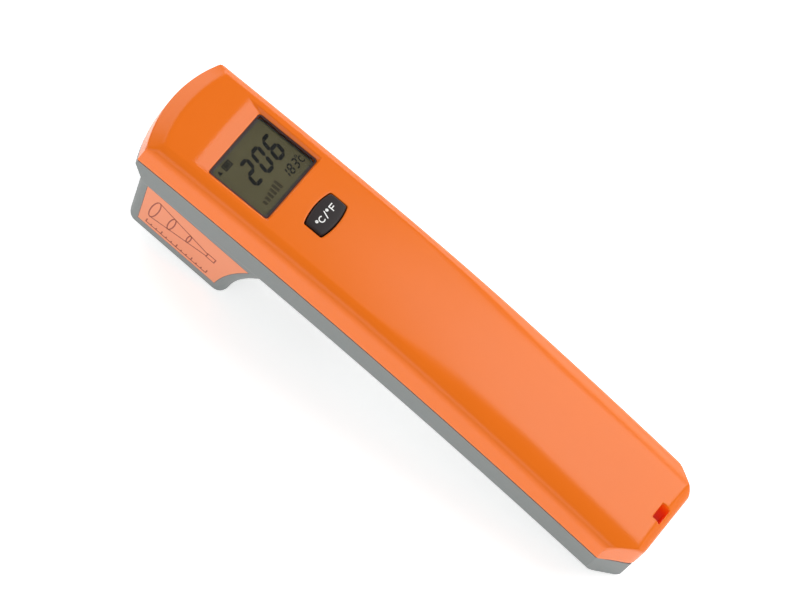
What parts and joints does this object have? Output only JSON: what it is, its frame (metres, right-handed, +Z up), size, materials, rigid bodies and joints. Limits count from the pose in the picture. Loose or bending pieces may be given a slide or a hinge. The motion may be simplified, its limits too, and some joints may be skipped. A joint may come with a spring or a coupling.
{
  "type": "infrared thermometer",
  "caption": "Stick infrared thermometer: arched two-shell casing with sunken display, unit button, finger trigger, forward-looking sensor nose with aiming laser, and hinged battery door.",
  "frame": {"origin": "centre of the standing footprint's box, on the table plane", "axes": "+X forward, the way the nose looks; +Y to the left; +Z up, standing at rest on the nose's foot and the casing's rear edge"},
  "size_m": [0.1894, 0.038, 0.0501],
  "materials": {
    "shell_orange": "smooth semi-gloss",
    "shell_grey": "fine grain",
    "dark_plastic": "matte",
    "label_orange": "printed film, satin",
    "clear_window": "clear",
    "seal_red": "matte",
    "lcd_glass": "grey-green liquid crystal cell",
    "strip_rubber": "matte",
    "board_green": "solder mask",
    "component_black": "moulded",
    "capacitor_can": "sleeved can",
    "steel": "zinc plated",
    "button_dark": "fine grain",
    "plunger": "smooth",
    "battery_can": "plain jacket",
    "lead_red": "insulation",
    "barrel": "turned",
    "lens": "infrared polymer",
    "sensor_can": "drawn can",
    "cable_film": "polyimide film",
    "socket_cream": "moulded",
    "laser_brass": "turned"
  },
  "bodies": {
    "casing": {"upper_shell": "shell_orange", "lower_shell": "shell_grey", "nose_housing": "shell_grey", "nose_bezel": "dark_plastic", "label_left": "label_orange", "label_right": "label_orange", "display_window": "clear_window", "window_gasket": "seal_red", "lcd_panel": "lcd_glass", "lcd_frame": "dark_plastic", "lcd_connectors": "strip_rubber", "main_board": "board_green", "controller_chip": "component_black", "board_capacitors": "capacitor_can", "board_screws": "steel", "unit_switch": "component_black", "trigger_pin": "steel", "trigger_switch": "component_black", "battery": "battery_can", "battery_snap": "component_black", "battery_leads": "lead_red", "sensor_barrel": "barrel", "ir_lens": "lens", "lens_ring": "dark_plastic", "thermopile": "sensor_can", "sensor_board": "board_green", "sensor_cable": "cable_film", "cable_socket": "socket_cream", "laser_module": "laser_brass", "laser_window": "clear_window", "laser_leads": "lead_red", "shell_screws": "steel", "nose_screws": "steel"},
    "button": {"unit_button": "button_dark", "unit_plunger": "plunger"},
    "trigger": {"trigger": "dark_plastic"},
    "trigger_plunger": {"trigger_plunger": "plunger"},
    "door": {"battery_door": "shell_grey"}
  },
  "joints": [
    {"name": "button_press", "type": "slide", "parent": "casing", "child": "button", "axis": [0.0835, 0, -0.9965], "range_m": [0, 0.0005], "stiffness_N_per_m": 3000},
    {"name": "trigger_pull", "type": "hinge", "parent": "casing", "child": "trigger", "pos_m": [0.01509, 0, 0.02377], "axis": [0, -1, 0], "range_deg": [0, 4.5], "stiffness_Nm_per_rad": 0.6},
    {"name": "trigger_plunger_slide", "type": "slide", "parent": "casing", "child": "trigger_plunger", "axis": [-0.0835, 0, 0.9965], "range_m": [0, 0.0015]},
    {"name": "door_hinge", "type": "hinge", "parent": "casing", "child": "door", "pos_m": [-0.03112, 0, 0.01409], "axis": [0, -1, 0], "range_deg": [0, 90]}
  ],
  "couplings": [
    {"joint": "trigger_plunger_slide", "follows": "trigger_pull", "m_per_rad": 0.0174}
  ]
}
